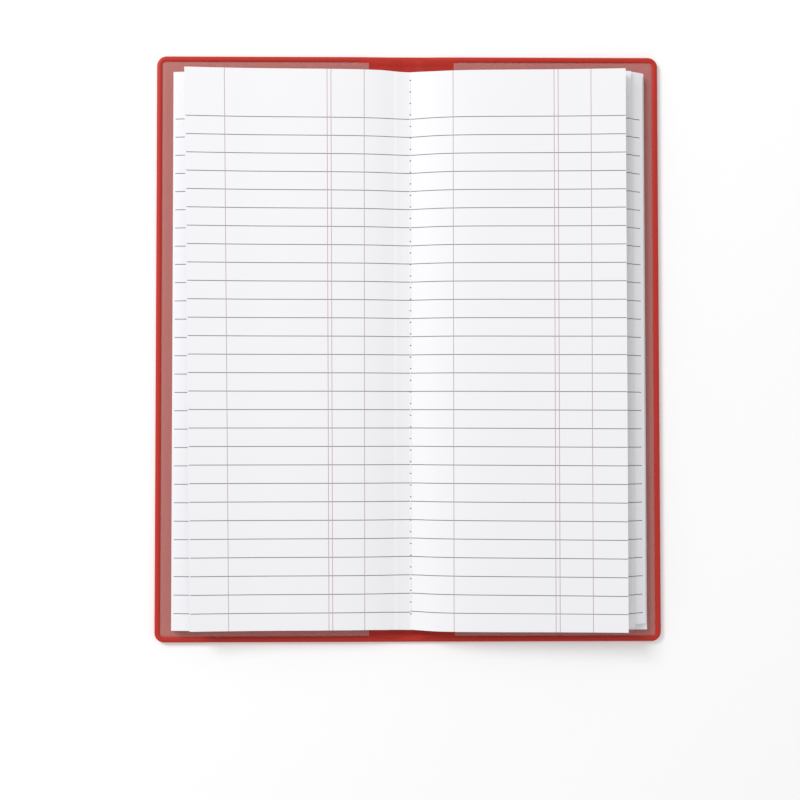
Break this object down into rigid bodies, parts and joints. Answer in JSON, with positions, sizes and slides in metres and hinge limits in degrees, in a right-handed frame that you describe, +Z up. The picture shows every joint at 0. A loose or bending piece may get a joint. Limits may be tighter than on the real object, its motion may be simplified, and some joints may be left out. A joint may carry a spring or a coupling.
{
  "type": "pocket tally book",
  "caption": "Slim pocket tally book: a flexible vinyl cover with welded rim and clear inner pockets, holding a sewn block of ruled leaves, open flat.",
  "frame": {"origin": "middle of the open book's footprint, on the surface it lies on", "axes": "+X towards the right-hand page's outer edge, +Y towards the head of the page, +Z up out of the open pages"},
  "size_m": [0.1762, 0.205, 0.011],
  "materials": {
    "cover_vinyl": "red PVC sheet, fine matt grain",
    "lining_vinyl": "red PVC sheet, smooth",
    "board": "grey board, sealed inside the cover",
    "card": "thin buff card",
    "pocket_film": "frosted clear PVC film",
    "paper": "ruled white paper",
    "thread": "white sewing thread"
  },
  "bodies": {
    "back_cover": {"back_outer_skin": "cover_vinyl", "back_board": "board", "back_lining": "lining_vinyl", "back_card": "card", "back_pocket": "pocket_film", "leaf_right_01": "paper", "leaf_right_02": "paper", "leaf_right_03": "paper", "leaf_right_04": "paper", "leaf_right_05": "paper", "leaf_right_06": "paper", "leaf_right_07": "paper", "leaf_right_08": "paper", "leaf_right_09": "paper", "leaf_right_10": "paper", "leaf_right_11": "paper"},
    "spine": {"spine_skin": "cover_vinyl", "spine_lining": "lining_vinyl", "card_fold": "card", "section_fold": "paper", "needle_thread": "thread", "bobbin_thread": "thread"},
    "front_cover": {"front_outer_skin": "cover_vinyl", "front_board": "board", "front_lining": "lining_vinyl", "front_card": "card", "front_pocket": "pocket_film", "leaf_left_01": "paper", "leaf_left_02": "paper", "leaf_left_03": "paper", "leaf_left_04": "paper", "leaf_left_05": "paper", "leaf_left_06": "paper", "leaf_left_07": "paper", "leaf_left_08": "paper", "leaf_left_09": "paper", "leaf_left_10": "paper", "leaf_left_11": "paper"},
    "leaf_right": {"leaf_right_top": "paper"},
    "leaf_left": {"leaf_left_top": "paper"}
  },
  "joints": [
    {"name": "spine_fold", "type": "hinge", "parent": "back_cover", "child": "spine", "pos_m": [0.0035, 0, 0.0005], "axis": [0, 1, 0], "range_deg": [0, 90], "deforming": ["leaf_right_top", "leaf_left_top"]},
    {"name": "cover_fold", "type": "hinge", "parent": "spine", "child": "front_cover", "pos_m": [-0.0035, 0, 0.0005], "axis": [0, 1, 0], "range_deg": [0, 90]},
    {"name": "leaf_right_turn", "type": "hinge", "parent": "back_cover", "child": "leaf_right", "pos_m": [0.002, 0, 0.004], "axis": [0, 1, 0], "range_deg": [-155, 0]},
    {"name": "leaf_left_turn", "type": "hinge", "parent": "front_cover", "child": "leaf_left", "pos_m": [-0.002, 0, 0.004], "axis": [0, -1, 0], "range_deg": [-155, 0]}
  ],
  "couplings": [
    {"joint": "cover_fold", "follows": "spine_fold", "ratio": 1}
  ]
}
